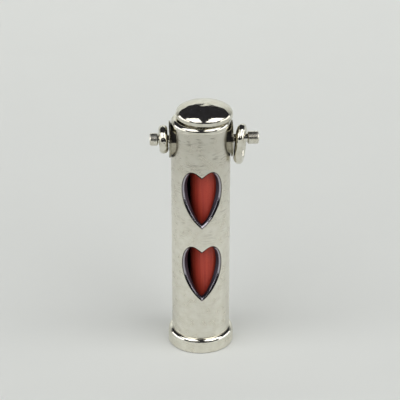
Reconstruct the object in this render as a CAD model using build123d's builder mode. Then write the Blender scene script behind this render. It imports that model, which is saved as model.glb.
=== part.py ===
from build123d import *
import os
from math import cos, degrees, radians, sin, tan

os.makedirs("parts", exist_ok=True)

# Mezuzah case: a round tube with heart windows, a lift-off domed lid, and a link on a post at each side.
# Millimetres. +Z is up, -Y is the side with the windows, and the origin is under the middle of the foot.

# ---- Driving dimensions ----
scroll_length = 60.0  # standard rolled parchment
tube_outer_r = 8.5
tube_wall = 2.0
base_thickness = 2.0
seam = 0.02  # soldered or glued seam between two round faces

foot_ledge = 1.13  # how far the foot stands out from the tube
foot_side_height = 3.26
foot_shoulder_height = 1.34
foot_edge = 0.2

liner_gap = 1.75
liner_play = 0.05  # left at the right of the bore, where the loose liner lies
liner_wall = 0.6
scroll_gap = 0.45
scroll_core_r = 0.8

scroll_top_gap = 1.6  # from the scroll up to the nuts on the posts
mouth_height = 1.7
mouth_lip = 0.7  # how far the mouth ring reaches in from the bore
mouth_edge_r = 1.2

heart_height = 16.8
heart_half_arc = 5.84  # half the heart's width, measured round the tube
heart_pitch = 23.75
heart_top_drop = 12.1  # from the tube's top down to the upper heart's lobes
heart_edge = 0.55

collar_r = 4.65
collar_top_gap = 0.15
collar_proud = 0.1
notch_gap = 0.05
washer_lip = 0.65  # how far the washer reaches past the collar
washer_thickness = 0.5
washer_edge = 0.12

shaft_r = 1.19
shaft_tail = 0.3
nut_across_flats = 3.8
nut_thickness = 1.2
head_r = 1.8
head_socket = 1.2
head_edge = 0.28
left_head_length = 2.35
right_head_length = 3.1
left_neck = 3.1  # bare shaft between washer and head
right_neck = 4.3

link_wire_r = 1.3
link_straight = 3.83
link_play = 0.39  # between the wire and the shaft
link_side_play = 0.1
left_link_swing = 64.0  # degrees, back from hanging
left_link_turn = 2.5  # degrees, upper side outward
right_link_lean = 3.5  # degrees, upper end outward
right_link_turn = 14.0  # degrees, rear side outward

lid_inset = 0.3
lid_shift = 1.0  # the loose lid lies this far to the right
lid_play = 0.1
lid_seat_overlap = 0.2
lid_seat_thickness = 0.5
lid_band_height = 0.95
lid_rise = 3.05
lid_edge = 0.2
round_share = 0.55  # handle length that makes a curve a quarter of an ellipse
plug_depth = 3.2
plug_wall = 1.0

# ---- Sizes that follow ----
bore_r = tube_outer_r - tube_wall
foot_r = tube_outer_r + foot_ledge
liner_r = bore_r - liner_gap
liner_shift = liner_gap - liner_play
scroll_r = liner_r - liner_wall - scroll_gap
nut_r = nut_across_flats / 2 / cos(radians(30))
scroll_top = base_thickness + scroll_length
pin_z = scroll_top + scroll_top_gap + nut_r
notch_r = collar_r + notch_gap
tube_height = pin_z + collar_r + collar_top_gap
mouth_top = tube_height + mouth_height
mouth_bore_r = bore_r - mouth_lip
shaft_hole_r = shaft_r + seam
washer_r = collar_r + washer_lip

collar_inner_x = bore_r + collar_proud
collar_outer_x = tube_outer_r + collar_proud
nut_inner_x = collar_inner_x - nut_thickness
washer_outer_x = collar_outer_x + washer_thickness

heart_half_angle = degrees(heart_half_arc / tube_outer_r)
upper_heart_tip = tube_height - heart_top_drop - heart_height
heart_tips = [upper_heart_tip - heart_pitch, upper_heart_tip]

lid_r = tube_outer_r - lid_inset
lid_seat_r = mouth_bore_r + lid_shift + lid_seat_overlap
plug_r = mouth_bore_r - lid_shift - lid_play
lid_bottom = mouth_top + lid_seat_thickness
lid_shoulder_z = lid_bottom + lid_band_height
lid_axis = Axis((lid_shift, 0, 0), (0, 0, 1))
lid_plane = Plane.XZ.move(Location((lid_shift, 0, 0)))

link_arc_r = shaft_r + link_play + link_wire_r
link_reach = link_straight + link_arc_r
link_inset = link_side_play + link_wire_r
left_link_x = washer_outer_x + link_inset + link_arc_r * sin(radians(left_link_turn))
right_link_x = max(
    washer_outer_x
    + link_inset
    + link_straight * sin(radians(right_link_lean))
    + link_arc_r * sin(radians(right_link_turn)),
    lid_r + lid_shift + link_inset + link_reach * sin(radians(right_link_lean)),
)


def side_plane(side, distance):
    """A plane across the posts' axis, at a distance to one side, facing outward."""
    return Plane(origin=(side * distance, 0, pin_z), x_dir=(0, side, 0), z_dir=(side, 0, 0))


# ---- Case: tube, mouth ring, foot and base ----
def heart_face(tip_z, distance):
    """A heart on the plane at a distance in front of the tube's axis, drawn to be cut radially."""

    def on_plane(share, rise):
        return (distance * tan(radians(share * heart_half_angle)), tip_z + rise * heart_height)

    tip, flank, widest = on_plane(0, 0), on_plane(0.59, 0.245), on_plane(1, 0.64)
    upper, lobe_top, notch = on_plane(0.815, 0.938), on_plane(0.588, 1), on_plane(0, 0.889)
    with BuildSketch(Plane.XZ.offset(distance)) as heart:
        with BuildLine():
            Spline(tip, flank, widest, upper, lobe_top, notch, tangents=((1, 0.9), (-1, -0.67)))
            Line(notch, tip)
        make_face()
        mirror(about=Plane.YZ)
    return heart.sketch


with BuildPart() as case_tube:
    with BuildSketch():
        Circle(tube_outer_r)
        Circle(bore_r, mode=Mode.SUBTRACT)
    extrude(amount=tube_height)
    for side in (-1, 1):
        with BuildSketch(side_plane(side, 0)):
            Circle(notch_r)
            with Locations((0, notch_r)):
                Rectangle(2 * notch_r, 2 * notch_r)
        extrude(amount=2 * tube_outer_r, mode=Mode.SUBTRACT)
    for tip_z in heart_tips:
        before = case_tube.edges()
        loft([heart_face(tip_z, bore_r / 2), heart_face(tip_z, foot_r)], ruled=True, mode=Mode.SUBTRACT)
        cut_edges = case_tube.edges() - before
        outer_edges = cut_edges.filter_by(lambda e: (e @ 0.5).Y < -bore_r * cos(radians(heart_half_angle)))
        rim = [e for e in outer_edges if Vector((e @ 0.5).X, (e @ 0.5).Y, 0).length > tube_outer_r - seam]
        chamfer(rim, heart_edge)
case_tube.part.label = "case_tube"
export_step(case_tube.part, "parts/case_tube.step")

with BuildPart() as mouth_ring:
    with BuildSketch(Plane.XY.offset(tube_height)):
        Circle(tube_outer_r)
        Circle(mouth_bore_r, mode=Mode.SUBTRACT)
    extrude(amount=mouth_height)
    top_edges = mouth_ring.faces().sort_by(Axis.Z)[-1].edges()
    fillet(top_edges.filter_by(GeomType.CIRCLE).sort_by(SortBy.RADIUS)[-1], mouth_edge_r)
mouth_ring.part.label = "mouth_ring"
export_step(mouth_ring.part, "parts/mouth_ring.step")

with BuildPart() as foot_ring:
    foot_bore_r = tube_outer_r + seam
    with BuildSketch(Plane.XZ):
        with BuildLine():
            Polyline(
                (foot_bore_r, foot_side_height + foot_shoulder_height),
                (foot_bore_r, 0),
                (foot_r - foot_edge, 0),
                (foot_r, foot_edge),
                (foot_r, foot_side_height),
            )
            EllipticalCenterArc(
                (foot_bore_r, foot_side_height), foot_r - foot_bore_r, foot_shoulder_height, arc_size=90
            )
        make_face()
    revolve(axis=Axis.Z)
foot_ring.part.label = "foot_ring"
export_step(foot_ring.part, "parts/foot_ring.step")

with BuildPart() as base_plate:
    with BuildSketch():
        Circle(bore_r - seam)
    extrude(amount=base_thickness)
base_plate.part.label = "base_plate"
export_step(base_plate.part, "parts/base_plate.step")

# ---- Inside: red liner behind the windows, and the rolled parchment ----
with BuildPart() as window_liner:
    with BuildSketch(Plane.XY.offset(base_thickness)):
        with Locations((liner_shift, 0)):
            Circle(liner_r)
            Circle(liner_r - liner_wall, mode=Mode.SUBTRACT)
    extrude(amount=scroll_length + scroll_top_gap / 2)
window_liner.part.label = "window_liner"
export_step(window_liner.part, "parts/window_liner.step")

with BuildPart() as parchment_scroll:
    with BuildSketch(Plane.XY.offset(base_thickness)):
        with Locations((liner_shift, 0)):
            Circle(scroll_r)
            Circle(scroll_core_r, mode=Mode.SUBTRACT)
    extrude(amount=scroll_length)
parchment_scroll.part.label = "parchment_scroll"
export_step(parchment_scroll.part, "parts/parchment_scroll.step")

# ---- Lid: a dome on a flanged plug ----
with BuildPart() as lid_dome:
    with BuildSketch(lid_plane):
        with BuildLine():
            Polyline(
                (0, lid_shoulder_z + lid_rise),
                (0, lid_bottom),
                (lid_r - lid_edge, lid_bottom),
                (lid_r, lid_bottom + lid_edge),
                (lid_r, lid_shoulder_z),
            )
            Bezier(
                (lid_r, lid_shoulder_z),
                (lid_r, lid_shoulder_z + round_share * lid_rise),
                (round_share * lid_r, lid_shoulder_z + lid_rise),
                (0, lid_shoulder_z + lid_rise),
            )
        make_face()
    revolve(axis=lid_axis)
lid_dome.part.label = "lid_dome"
export_step(lid_dome.part, "parts/lid_dome.step")

with BuildPart() as lid_plug:
    with BuildSketch(Plane.XY.offset(mouth_top)):
        with Locations((lid_shift, 0)):
            Circle(lid_seat_r)
    extrude(amount=lid_seat_thickness)
    with BuildSketch(Plane.XY.offset(mouth_top)):
        with Locations((lid_shift, 0)):
            Circle(plug_r)
            Circle(plug_r - plug_wall, mode=Mode.SUBTRACT)
    extrude(amount=-plug_depth)
lid_plug.part.label = "lid_plug"
export_step(lid_plug.part, "parts/lid_plug.step")

# ---- Side posts: nut, collar, washer, shaft and head, from the bore outward ----
necks = {"left": left_neck, "right": right_neck}
head_lengths = {"left": left_head_length, "right": right_head_length}

for side_name, side in (("left", -1), ("right", 1)):
    head_x = washer_outer_x + necks[side_name]

    with BuildPart() as inner_nut:
        with BuildSketch(side_plane(side, nut_inner_x)):
            RegularPolygon(nut_r, 6)
            Circle(shaft_hole_r, mode=Mode.SUBTRACT)
        extrude(amount=nut_thickness)
    inner_nut.part.label = f"{side_name}_inner_nut"
    export_step(inner_nut.part, f"parts/{side_name}_inner_nut.step")

    with BuildPart() as collar:
        with BuildSketch(side_plane(side, collar_inner_x)):
            Circle(collar_r)
            Circle(shaft_hole_r, mode=Mode.SUBTRACT)
        extrude(amount=collar_outer_x - collar_inner_x)
    collar.part.label = f"{side_name}_collar"
    export_step(collar.part, f"parts/{side_name}_collar.step")

    with BuildPart() as washer:
        with BuildSketch(side_plane(side, collar_outer_x)):
            Circle(washer_r)
            Circle(shaft_hole_r, mode=Mode.SUBTRACT)
        extrude(amount=washer_thickness)
        fillet(washer.edges().filter_by(GeomType.CIRCLE).sort_by(SortBy.RADIUS)[-2:], washer_edge)
    washer.part.label = f"{side_name}_washer"
    export_step(washer.part, f"parts/{side_name}_washer.step")

    with BuildPart() as post:
        with BuildSketch(side_plane(side, nut_inner_x - shaft_tail)):
            Circle(shaft_r)
        extrude(amount=head_x + head_socket - (nut_inner_x - shaft_tail))
    post.part.label = f"{side_name}_post"
    export_step(post.part, f"parts/{side_name}_post.step")

    with BuildPart() as post_head:
        with BuildSketch(side_plane(side, head_x)):
            Circle(head_r)
        extrude(amount=head_lengths[side_name])
        chamfer(post_head.edges().filter_by(GeomType.CIRCLE), head_edge)
        with BuildSketch(side_plane(side, head_x)):
            Circle(shaft_hole_r)
        extrude(amount=head_socket, mode=Mode.SUBTRACT)
    post_head.part.label = f"{side_name}_post_head"
    export_step(post_head.part, f"parts/{side_name}_post_head.step")

# ---- Links: ovals of round wire hanging on the posts ----
# A link's plane has Y along the link, towards its post, and X across it.
link_places = {
    "left_link": ((-left_link_x, 0, pin_z), (left_link_swing, 0, left_link_turn)),
    "right_link": ((right_link_x, 0, pin_z), (0, right_link_lean, -right_link_turn)),
}

for link_name, (place, (swing, lean, turn)) in link_places.items():
    link_plane = Plane(Location(place) * Location((0, 0, 0), (swing, lean, turn)) * Plane.YZ.location)
    with BuildPart() as link:
        with BuildLine(link_plane) as half_oval:
            Line((link_arc_r, -link_straight / 2), (link_arc_r, 0))
            CenterArc((0, 0), link_arc_r, 0, 180)
            Line((-link_arc_r, 0), (-link_arc_r, -link_straight / 2))
        with BuildSketch(Plane(origin=half_oval.line @ 0, z_dir=half_oval.line % 0)):
            Circle(link_wire_r)
        sweep(path=half_oval.line)
        middle = link_plane.location * Location((0, -link_straight / 2, 0), (90, 0, 0))
        mirror(about=Plane(middle))
    link.part.label = link_name
    export_step(link.part, f"parts/{link_name}.step")
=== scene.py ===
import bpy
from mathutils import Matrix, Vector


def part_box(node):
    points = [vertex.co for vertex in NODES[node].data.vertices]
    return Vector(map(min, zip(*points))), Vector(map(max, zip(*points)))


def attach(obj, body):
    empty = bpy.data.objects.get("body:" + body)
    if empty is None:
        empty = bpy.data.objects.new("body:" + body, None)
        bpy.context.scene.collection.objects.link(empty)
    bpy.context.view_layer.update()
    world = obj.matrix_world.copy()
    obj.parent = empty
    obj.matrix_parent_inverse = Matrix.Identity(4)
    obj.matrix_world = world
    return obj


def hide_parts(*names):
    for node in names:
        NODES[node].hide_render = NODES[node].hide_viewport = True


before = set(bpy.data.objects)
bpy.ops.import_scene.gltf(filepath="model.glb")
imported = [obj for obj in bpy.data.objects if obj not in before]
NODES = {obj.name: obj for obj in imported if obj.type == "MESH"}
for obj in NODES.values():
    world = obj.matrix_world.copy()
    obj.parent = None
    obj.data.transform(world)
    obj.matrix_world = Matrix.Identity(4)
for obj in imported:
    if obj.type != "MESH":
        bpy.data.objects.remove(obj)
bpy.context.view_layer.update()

import math
import random

import bmesh
import bpy
from mathutils import Vector

random.seed(18)
MM = 0.001


# ---- Places and sizes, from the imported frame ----
def corners(node):
    low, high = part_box(node)
    return Vector(low), Vector(high)


TUBE_R = corners("case_tube")[1].x

# Heights on the tube and foot, above the base, where one finish gives way to another
BRUSHED_FROM, BRUSHED_TO = 30 * MM, 66 * MM
GREY_FROM, GREY_TO = 36 * MM, 66 * MM
SHOULDER_FROM, SHOULDER_TO = 3.1 * MM, 3.35 * MM

# Depths below the tube's skin, on the windows' edges and walls, where the painted dark line round
# each window and the painted shade deep in the walls begin and end
WALL_FROM, WALL_TO = 0.02 * MM, 0.08 * MM
RIM_FROM, RIM_FULL, RIM_FADES, RIM_ENDS = 0.02 * MM, 0.05 * MM, 0.20 * MM, 0.28 * MM
WALL_SHADE_FROM, WALL_SHADE_TO = 0.54 * MM, 0.72 * MM

# Colours
SILVER, SILVER_WARM = (0.86, 0.84, 0.75), (0.77, 0.74, 0.64)
OLD_SILVER, OLD_SILVER_WARM = (0.77, 0.75, 0.67), (0.64, 0.61, 0.51)
GREY_SILVER, MARK_SILVER = (0.42, 0.40, 0.34), (0.30, 0.28, 0.23)
# Collar colours: a darker, olive silver that is painted shade of the recess the collars sit in
COLLAR_SHADE_LIGHT, COLLAR_SHADE_DARK = (0.50, 0.47, 0.38), (0.22, 0.20, 0.14)
# Patina in the corners, also used for the painted dark reflection round each window
PATINA_AND_DARK_REFLECTION = (0.10, 0.09, 0.07)
# Window wall colours: a painted lilac grey reflection, and painted shade deep in the walls
WALL_PAINTED_REFLECTION, WALL_PAINTED_SHADE = (0.44, 0.42, 0.47), (0.10, 0.09, 0.12)
RED_DARK, RED_LIGHT, RED_FIBRE = (0.47, 0.042, 0.024), (0.58, 0.070, 0.038), (0.28, 0.02, 0.018)
BRASS_DARK, BRASS_LIGHT = (0.20, 0.17, 0.10), (0.44, 0.40, 0.28)
PARCHMENT_LIGHT, PARCHMENT_TAN = (0.80, 0.70, 0.50), (0.66, 0.53, 0.33)
PARCHMENT_FIBRE = (0.55, 0.43, 0.26)
PAPER_DARK, PAPER_LIGHT = (0.735, 0.75, 0.72), (0.75, 0.765, 0.735)
WORLD_COLOUR = (0.03, 0.03, 0.035)


# ---- Material helpers ----
class Nodes:
    """Short names for building one procedural material. Noise scales are in cells per metre."""

    NOISE_ROUGHNESS = 0.55

    def __init__(self, name):
        self.material = bpy.data.materials.new(name)
        self.material.use_nodes = True
        self.tree = self.material.node_tree
        self.shader = self.tree.nodes["Principled BSDF"]
        self.place = self.add("ShaderNodeTexCoord").outputs["Object"]

    def add(self, kind, **settings):
        node = self.tree.nodes.new(kind)
        for key, value in settings.items():
            setattr(node, key, value)
        return node

    def link(self, source, target):
        self.tree.links.new(source, target)

    def noise(self, scale, detail=3.0, vector=None):
        node = self.add("ShaderNodeTexNoise")
        node.inputs["Scale"].default_value = scale
        node.inputs["Detail"].default_value = detail
        node.inputs["Roughness"].default_value = self.NOISE_ROUGHNESS
        self.link(vector if vector is not None else self.place, node.inputs["Vector"])
        return node.outputs["Fac"]

    def streaks(self, across, along_z, detail):
        """Noise with its own scale across (x and y) and along z."""
        mapping = self.add("ShaderNodeMapping")
        mapping.inputs["Scale"].default_value = (across, across, along_z)
        self.link(self.place, mapping.inputs["Vector"])
        return self.noise(1.0, detail=detail, vector=mapping.outputs["Vector"])

    def ranged(self, value, from_low, from_high, to_low=0.0, to_high=1.0):
        node = self.add("ShaderNodeMapRange")
        self.link(value, node.inputs["Value"])
        node.inputs["From Min"].default_value = from_low
        node.inputs["From Max"].default_value = from_high
        node.inputs["To Min"].default_value = to_low
        node.inputs["To Max"].default_value = to_high
        return node.outputs["Result"]

    def math(self, operation, a, b):
        node = self.add("ShaderNodeMath", operation=operation)
        for socket, value in zip(node.inputs, (a, b)):
            if isinstance(value, (int, float)):
                socket.default_value = value
            else:
                self.link(value, socket)
        return node.outputs["Value"]

    def times(self, a, b):
        return self.math("MULTIPLY", a, b)

    def plus(self, a, b):
        return self.math("ADD", a, b)

    def mixed(self, factor, first, second):
        """first where factor is 0, second where it is 1, as numbers."""
        return self.plus(first, self.times(factor, self.math("SUBTRACT", second, first)))

    def colours(self, factor, first, second):
        """first where factor is 0, second where it is 1, as colours."""
        node = self.add("ShaderNodeMix", data_type="RGBA")
        self.link(factor, node.inputs["Factor"])
        for key, colour in (("A", first), ("B", second)):
            socket = [s for s in node.inputs if s.name == key and s.type == "RGBA"][0]
            if isinstance(colour, tuple):
                socket.default_value = (*colour, 1)
            else:
                self.link(colour, socket)
        return [s for s in node.outputs if s.type == "RGBA"][0]

    def split(self):
        node = self.add("ShaderNodeSeparateXYZ")
        self.link(self.place, node.inputs["Vector"])
        return node.outputs

    def radius(self):
        """Distance from the tube's axis, in metres."""
        place = self.split()
        x_squared = self.times(place["X"], place["X"])
        y_squared = self.times(place["Y"], place["Y"])
        return self.math("SQRT", self.plus(x_squared, y_squared), 0.0)

    def height(self):
        return self.split()["Z"]

    def crevice(self, distance):
        """0 in the open and 1 deep in a corner."""
        node = self.add("ShaderNodeAmbientOcclusion", samples=8)
        node.inputs["Distance"].default_value = distance
        return self.ranged(node.outputs["AO"], 0.75, 0.2)

    def bumps(self, *layers, rounding=0.0):
        """layers: (height, depth in metres), from the broadest to the finest.

        rounding: radius in metres of the edges' rounding.
        """
        normal = None
        if rounding:
            edges = self.add("ShaderNodeBevel", samples=8)
            edges.inputs["Radius"].default_value = rounding
            normal = edges.outputs["Normal"]
        for height, depth in layers:
            node = self.add("ShaderNodeBump")
            node.inputs["Strength"].default_value = 1.0
            node.inputs["Distance"].default_value = depth
            self.link(height, node.inputs["Height"])
            if normal is not None:
                self.link(normal, node.inputs["Normal"])
            normal = node.outputs["Normal"]
        self.link(normal, self.shader.inputs["Normal"])

    def put(self, name, value):
        socket = self.shader.inputs[name]
        if isinstance(value, (int, float)):
            socket.default_value = value
        else:
            self.link(value, socket)


def scratches(n, across, along, amount):
    """Fine marks that run round the tube: 1 in a mark and 0 between."""
    lines = n.streaks(along, across, detail=1.0)
    patches = n.noise(260.0, detail=1.0)
    marks = n.ranged(lines, 1 - amount, 1 - amount + 0.05)
    return n.times(marks, n.ranged(patches, 0.45, 0.6))


# ---- Finishes ----
def satin_silver(name, polished=None, painted_rim=None, corner=0.8 * MM):
    """Silver plate rubbed to a satin, brushed and greyer towards the tube's top.

    polished(n) gives a 0 to 1 mask of the parts left bright, rim(n) one of their dark outer line,
    which is a painted dark reflection; with it the bright walls also get a painted lilac reflection
    and painted shade deeper in.
    corner is how far patina reaches out of the corners.
    """
    n = Nodes(name)
    cloud = n.noise(420.0, detail=4.0)
    grain = n.noise(5200.0, detail=2.0)
    near_top = n.ranged(n.height(), BRUSHED_FROM, BRUSHED_TO, 0.12, 1.0)
    marks = n.times(scratches(n, 3600.0, 420.0, 0.44), near_top)
    brushing = n.times(n.streaks(320.0, 2600.0, detail=2.0), near_top)
    in_corners = n.times(n.crevice(corner), n.ranged(n.noise(900.0), 0.3, 0.6, 0.5, 1.0))

    tone = n.colours(n.ranged(cloud, 0.35, 0.65), SILVER_WARM, SILVER)
    tone = n.colours(n.ranged(n.height(), GREY_FROM, GREY_TO, 0.0, 0.48), tone, GREY_SILVER)
    tone = n.colours(in_corners, tone, PATINA_AND_DARK_REFLECTION)
    tone = n.colours(n.times(marks, 0.6), tone, MARK_SILVER)
    rough = n.plus(n.ranged(cloud, 0.3, 0.7, 0.25, 0.36), n.times(marks, 0.12))
    if polished:
        bright = n.ranged(grain, 0.3, 0.7, 0.07, 0.13)
        if painted_rim:
            # Painted reflection and painted shade: the cut walls lilac grey, darker deeper in
            wall_shade = n.ranged(n.radius(), TUBE_R - WALL_SHADE_FROM, TUBE_R - WALL_SHADE_TO)
            tone = n.colours(polished(n), tone, n.colours(wall_shade, WALL_PAINTED_REFLECTION, WALL_PAINTED_SHADE))
            # Painted dark reflection: a dark line round the outer edge of each window
            tone = n.colours(painted_rim(n), tone, PATINA_AND_DARK_REFLECTION)
            bright = n.mixed(wall_shade, bright, 0.5)
        rough = n.mixed(polished(n), rough, bright)
    n.put("Base Color", tone)
    n.put("Metallic", 1.0)
    n.put("Roughness", rough)
    n.bumps(
        (n.noise(380.0, detail=2.0), 0.012 * MM),
        (brushing, 0.035 * MM),
        (marks, -0.015 * MM),
        (grain, 0.002 * MM),
        rounding=0.35 * MM if painted_rim else 0.0,
    )
    return n.material


def polished_silver(
    name,
    wobble=0.010 * MM,
    wave=0.0,
    light=OLD_SILVER,
    dark=OLD_SILVER_WARM,
    smoothest=0.05,
):
    """Bright hand-polished plate: waves and wobble, hairlines, and patina in the corners."""
    n = Nodes(name)
    cloud = n.noise(500.0, detail=3.0)
    hair = scratches(n, 3000.0, 900.0, 0.33)
    tone = n.colours(n.ranged(cloud, 0.35, 0.65), dark, light)
    rough = n.ranged(cloud, 0.3, 0.7, smoothest, smoothest + 0.06)
    n.put("Base Color", n.colours(n.crevice(0.6 * MM), tone, PATINA_AND_DARK_REFLECTION))
    n.put("Metallic", 1.0)
    n.put("Roughness", n.plus(rough, n.times(hair, 0.10)))
    n.bumps(
        (n.noise(150.0, detail=2.0), wave),
        (n.noise(340.0, detail=2.0), wobble),
        (n.noise(1500.0, detail=2.0), 0.0025 * MM),
        (hair, -0.002 * MM),
    )
    return n.material


def red_liner(name):
    """Dull red lacquered paper, with faint upright streaks."""
    n = Nodes(name)
    streaks = n.streaks(1500.0, 40.0, detail=3.0)
    fibres = n.noise(2600.0, detail=4.0)
    red = n.colours(n.ranged(streaks, 0.35, 0.65), RED_DARK, RED_LIGHT)
    n.put("Base Color", n.colours(n.ranged(fibres, 0.55, 0.75, 0.0, 0.35), red, RED_FIBRE))
    n.put("Roughness", n.ranged(fibres, 0.3, 0.7, 0.42, 0.58))
    n.bumps((streaks, 0.012 * MM), (fibres, 0.006 * MM))
    return n.material


def old_brass(name):
    n = Nodes(name)
    cloud = n.noise(900.0, detail=4.0)
    n.put("Base Color", n.colours(n.ranged(cloud, 0.35, 0.65), BRASS_DARK, BRASS_LIGHT))
    n.put("Metallic", 1.0)
    n.put("Roughness", n.ranged(cloud, 0.3, 0.7, 0.22, 0.42))
    n.bumps((n.noise(700.0), 0.008 * MM), (n.noise(4200.0), 0.002 * MM))
    return n.material


def parchment(name):
    n = Nodes(name)
    fibres = n.noise(1600.0, detail=5.0)
    blotches = n.noise(230.0, detail=3.0)
    tone = n.colours(n.ranged(blotches, 0.35, 0.7), PARCHMENT_LIGHT, PARCHMENT_TAN)
    n.put("Base Color", n.colours(n.ranged(fibres, 0.5, 0.75, 0.0, 0.4), tone, PARCHMENT_FIBRE))
    n.put("Roughness", n.ranged(fibres, 0.3, 0.7, 0.62, 0.8))
    n.bumps((fibres, 0.02 * MM), (n.noise(6000.0), 0.006 * MM))
    return n.material


def window_walls(n):
    """1 on the cut walls and bevels of the windows, 0 on the tube's skin."""
    return n.ranged(n.radius(), TUBE_R - WALL_FROM, TUBE_R - WALL_TO)


def window_rim_painted_reflection(n):
    """A painted dark reflection: the dark line just inside the skin, all round each window."""
    radius = n.radius()
    outer = n.ranged(radius, TUBE_R - RIM_FROM, TUBE_R - RIM_FULL, 0.0, 0.9)
    inner = n.ranged(radius, TUBE_R - RIM_ENDS, TUBE_R - RIM_FADES)
    return n.times(outer, inner)


def foot_shoulder(n):
    return n.ranged(n.height(), SHOULDER_FROM, SHOULDER_TO)


POLISHED = polished_silver("polished_silver")
HAMMERED = polished_silver("link_silver", wobble=0.05 * MM)
HEAD = polished_silver("head_silver", wobble=0.03 * MM, smoothest=0.24)
# Collars and washers get darker silver: painted shade of the recess they sit in
COLLAR_PAINTED_SHADE = polished_silver("collar_silver_painted_shade", light=COLLAR_SHADE_LIGHT, dark=COLLAR_SHADE_DARK)
BRASS = old_brass("nut_brass")
FINISHES = {
    "case_tube": satin_silver("tube_satin", window_walls, window_rim_painted_reflection),
    "foot_ring": satin_silver("foot_satin", foot_shoulder, corner=0.3 * MM),
    "base_plate": satin_silver("base_satin"),
    "lid_dome": polished_silver("lid_silver", wobble=0.03 * MM, wave=0.20 * MM),
    "window_liner": red_liner("liner_red"),
    "parchment_scroll": parchment("scroll_parchment"),
}
for side_name in ("left", "right"):
    FINISHES[side_name + "_inner_nut"] = BRASS
    FINISHES[side_name + "_link"] = HAMMERED
    FINISHES[side_name + "_collar"] = COLLAR_PAINTED_SHADE
    FINISHES[side_name + "_washer"] = COLLAR_PAINTED_SHADE
    FINISHES[side_name + "_post_head"] = HEAD
for name, node in NODES.items():
    node.data.materials.clear()
    node.data.materials.append(FINISHES.get(name, POLISHED))


# ---- Hand-made unevenness of the lid and links ----
def dented(node, size, depth, subdivisions=1):
    """size and depth of the dents, in metres. They go almost only inward."""
    weld = node.modifiers.new("weld", "WELD")
    weld.merge_threshold = 0.002 * MM
    finer = node.modifiers.new("finer", "SUBSURF")
    finer.subdivision_type = "SIMPLE"
    finer.levels = subdivisions
    finer.render_levels = subdivisions
    clouds = bpy.data.textures.new(node.name + "_dents", "CLOUDS")
    clouds.noise_scale = size
    clouds.noise_depth = 1
    dent = node.modifiers.new("dents", "DISPLACE")
    dent.texture = clouds
    dent.texture_coords = "LOCAL"
    dent.strength = depth
    dent.mid_level = 0.7
    smooth = node.modifiers.new("smooth", "WEIGHTED_NORMAL")
    smooth.weight = 100
    smooth.keep_sharp = False


dented(NODES["lid_dome"], 5.0 * MM, 0.20 * MM)
dented(NODES["left_link"], 1.3 * MM, 0.26 * MM)
dented(NODES["right_link"], 1.3 * MM, 0.26 * MM)


# ---- The rolled parchment, as a spiral sheet ----
def rolled_sheet():
    """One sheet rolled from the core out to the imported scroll's outside, with worn wavy edges."""
    thickness, turns, per_turn, rows, first_turn = 0.16 * MM, 8, 48, 14, 0.9
    low, high = corners("parchment_scroll")
    centre = (low + high) / 2
    inner = 0.95 * MM
    outer = (high.y - low.y) / 2 - 0.12 * MM
    edge_wear, edge_fray, edge_phases, edge_rate = 0.12 * MM, 0.05, (0, 2), 0.83
    drift_depth, drift_rate = 0.10 * MM, 3.1
    buckle_depth, buckle_rate = 0.03 * MM, 9
    bm = bmesh.new()
    columns = []
    for i in range(turns * per_turn + 1):
        share = i / (turns * per_turn)
        turn = 2 * math.pi * turns * share + first_turn
        drift = drift_depth * math.sin(drift_rate * turn / turns) * (1 - share)
        worn = []
        for phase in edge_phases:
            wave = edge_wear * (1 + math.sin(edge_rate * turn + phase))
            worn.append(wave + random.uniform(0, edge_fray) * MM)
        column = []
        for j in range(rows + 1):
            up = j / rows
            buckle = buckle_depth * math.sin(buckle_rate * up + turn / turns) * (1 - share)
            radius = inner + (outer - inner) * share + buckle
            x = centre.x + radius * math.cos(turn)
            y = centre.y + radius * math.sin(turn)
            z = low.z + worn[0] + (high.z - low.z - worn[0] - worn[1]) * up + drift * up
            column.append(bm.verts.new((x, y, min(z, high.z))))
        columns.append(column)
    for first, second in zip(columns, columns[1:]):
        for j in range(rows):
            bm.faces.new((first[j], second[j], second[j + 1], first[j + 1])).smooth = True
    mesh = bpy.data.meshes.new("parchment_sheet")
    bm.to_mesh(mesh)
    bm.free()
    piece = bpy.data.objects.new("parchment_sheet", mesh)
    bpy.context.collection.objects.link(piece)
    thick = piece.modifiers.new("thickness", "SOLIDIFY")
    thick.thickness = thickness
    thick.offset = 0
    mesh.materials.append(FINISHES["parchment_scroll"])
    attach(piece, "case")
    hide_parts("parchment_scroll")


rolled_sheet()


# ---- Stage: pale floor and sweep, in metres ----
def stage_sweep():
    """A pale floor that curves up into a low backdrop."""
    half_width, front, back, bend, top, bend_steps = 1.6, -1.0, 0.70, 0.15, 0.55, 12
    outline = [(front, 0.0), (back, 0.0)]
    for i in range(1, bend_steps + 1):
        a = math.radians(90 * i / bend_steps)
        outline.append((back + bend * math.sin(a), bend * (1 - math.cos(a))))
    outline.append((back + bend, top))
    bm = bmesh.new()
    rows = [[bm.verts.new((x, y, z)) for x in (-half_width, half_width)] for y, z in outline]
    for (a, b), (c, d) in zip(rows, rows[1:]):
        bm.faces.new((a, b, d, c)).smooth = True
    mesh = bpy.data.meshes.new("stage_sweep")
    bm.to_mesh(mesh)
    bm.free()
    sweep = bpy.data.objects.new("stage_sweep", mesh)
    bpy.context.collection.objects.link(sweep)
    n = Nodes("sweep_paper")
    n.put("Base Color", n.colours(n.noise(30.0, detail=2.0), PAPER_DARK, PAPER_LIGHT))
    n.put("Roughness", 0.9)
    mesh.materials.append(n.material)


stage_sweep()


# ---- Lights: two boxes overhead, a card at each side, a wash and a fill that leave no glints ----
def soft_box(name, centre, size, aim, power):
    light = bpy.data.lights.new(name, "AREA")
    light.shape = "RECTANGLE"
    light.size, light.size_y = size
    light.energy = power
    lamp = bpy.data.objects.new(name, light)
    lamp.location = centre
    lamp.rotation_euler = (Vector(aim) - Vector(centre)).to_track_quat("-Z", "Y").to_euler()
    bpy.context.collection.objects.link(lamp)
    return lamp


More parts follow.
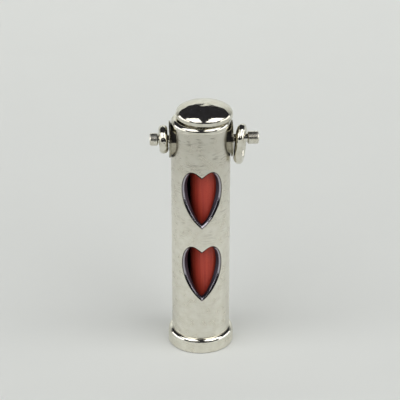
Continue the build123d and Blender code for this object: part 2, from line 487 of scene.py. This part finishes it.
BOX_HEIGHT, BOX_BACK, BOX_FRONT = 0.60, -0.12, -0.74
BOX_MIDDLE, BOX_DEPTH = (BOX_BACK + BOX_FRONT) / 2, BOX_BACK - BOX_FRONT
BOX_X, BOX_WIDTH = 0.43, 0.83
CARD_X, CARD_HEIGHT, CARD_SIZE, CARD_POWER = 1.0, 0.22, (1.1, 0.40), 2.6
for side_name, side, box_power in (("left", -1, 3.4), ("right", 1, 3.8)):
    soft_box(
        "soft_box_" + side_name,
        (side * BOX_X, BOX_MIDDLE, BOX_HEIGHT),
        (BOX_WIDTH, BOX_DEPTH),
        (side * 0.16, BOX_MIDDLE, 0.05),
        box_power,
    )
    soft_box(
        "side_card_" + side_name,
        (side * CARD_X, 0, CARD_HEIGHT),
        CARD_SIZE,
        (0, 0, 0.06),
        CARD_POWER,
    )
fill = soft_box("front_fill", (-0.10, -0.75, 0.42), (0.45, 0.30), (0, 0, 0.04), 0.3)
wash = soft_box("backdrop_wash", (0, 0.30, 0.70), (1.0, 0.2), (0, 0.85, 0.34), 4.7)
for lamp in (fill, wash):
    lamp.visible_glossy = False

world = bpy.data.worlds.new("studio")
world.use_nodes = True
world.node_tree.nodes["Background"].inputs["Color"].default_value = (*WORLD_COLOUR, 1)
bpy.context.scene.world = world
bpy.context.scene.view_settings.view_transform = "Standard"

# ---- Camera, at the photograph's angle ----
CAMERA_DISTANCE, ELEVATION, AZIMUTH = 0.497, math.radians(26.6), math.radians(-2.7)
TARGET = Vector((-0.0002, 0, 0.0462))
camera_data = bpy.data.cameras.new("camera")
camera_data.lens = 154.3
camera_data.sensor_width = 36.0
camera_data.clip_start = 0.01
camera = bpy.data.objects.new("camera", camera_data)
direction = Vector(
    (
        math.sin(AZIMUTH) * math.cos(ELEVATION),
        -math.cos(AZIMUTH) * math.cos(ELEVATION),
        math.sin(ELEVATION),
    )
)
camera.location = TARGET + CAMERA_DISTANCE * direction
camera.rotation_euler = (-direction).to_track_quat("-Z", "Y").to_euler()
bpy.context.collection.objects.link(camera)
bpy.context.scene.camera = camera
